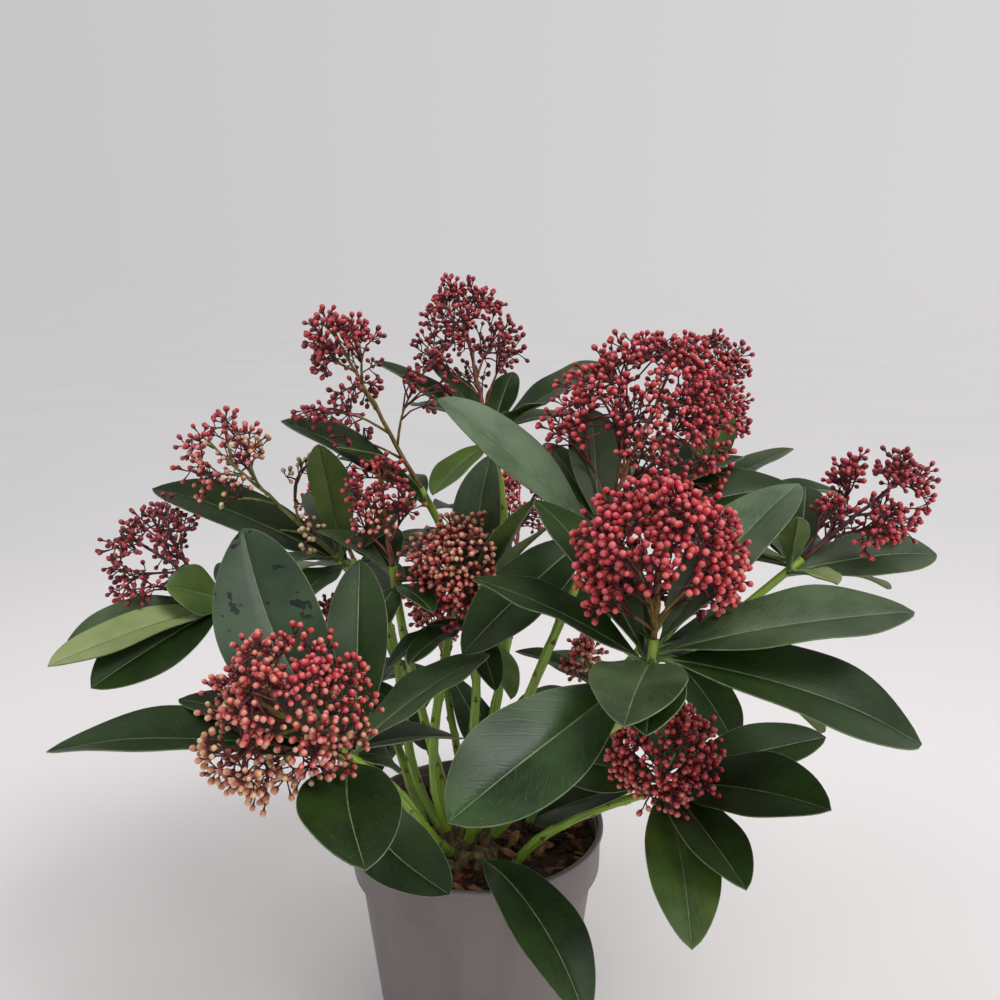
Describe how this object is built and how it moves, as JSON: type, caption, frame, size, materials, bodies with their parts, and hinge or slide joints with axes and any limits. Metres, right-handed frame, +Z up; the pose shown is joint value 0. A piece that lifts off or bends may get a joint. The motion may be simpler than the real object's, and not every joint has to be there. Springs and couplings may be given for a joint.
{
  "type": "potted skimmia shrub",
  "caption": "Small evergreen skimmia shrub in a round plastic grower pot, with whorls of leathery leaves and panicles of closed red flower buds.",
  "frame": {"origin": "middle of the pot's flat underside", "axes": "+Z up, -Y towards the front of the plant, +X to the right seen from the front"},
  "size_m": [0.4137, 0.3759, 0.3921],
  "materials": {
    "pot_plastic": "taupe grey moulded plastic, satin",
    "potting_mix": "dark bark and peat mix, rough",
    "wood": "knobbly brown wood",
    "green_bark": "smooth green bark with leaf scars",
    "leaf": "leathery dark green, satin, paler below",
    "flower_bud": "closed red buds on dark red stalks, satin"
  },
  "bodies": {
    "root": {"pot": "pot_plastic", "potting_soil": "potting_mix", "crown": "wood", "stem_far_left": "green_bark", "stem_left": "green_bark", "stem_mid_left": "green_bark", "stem_top": "green_bark", "stem_mid_right": "green_bark", "stem_back_right": "green_bark", "stem_near": "green_bark", "stem_far_right": "green_bark", "stem_low_right": "green_bark", "stem_inner_left": "green_bark", "stem_inner": "green_bark", "stem_low_left": "green_bark", "stem_foot": "green_bark", "stem_low_middle": "green_bark", "stem_back_left": "green_bark", "stem_back": "green_bark", "stem_right_inner": "green_bark", "stem_low_back": "green_bark", "stem_low_back_left": "green_bark", "leaves_far_left": "leaf", "leaves_left": "leaf", "leaves_mid_left": "leaf", "leaves_top": "leaf", "leaves_mid_right": "leaf", "leaves_back_right": "leaf", "leaves_near": "leaf", "leaves_far_right": "leaf", "leaves_low_right": "leaf", "leaves_inner_left": "leaf", "leaves_inner": "leaf", "leaves_low_left": "leaf", "leaves_foot": "leaf", "leaves_low_middle": "leaf", "leaves_back_left": "leaf", "leaves_back": "leaf", "leaves_right_inner": "leaf", "leaves_low_back": "leaf", "leaves_low_back_left": "leaf", "panicle_far_left": "flower_bud", "panicle_left": "flower_bud", "panicle_mid_left": "flower_bud", "panicle_top": "flower_bud", "panicle_mid_right": "flower_bud", "panicle_back_right": "flower_bud", "panicle_near": "flower_bud", "panicle_far_right": "flower_bud", "panicle_low_right": "flower_bud", "panicle_inner_left": "flower_bud", "panicle_inner": "flower_bud", "panicle_low_left": "flower_bud", "panicle_low_middle": "flower_bud", "panicle_back_left": "flower_bud", "panicle_back": "flower_bud", "panicle_right_inner": "flower_bud", "panicle_low_back": "flower_bud", "panicle_low_back_left": "flower_bud"}
  },
  "joints": []
}
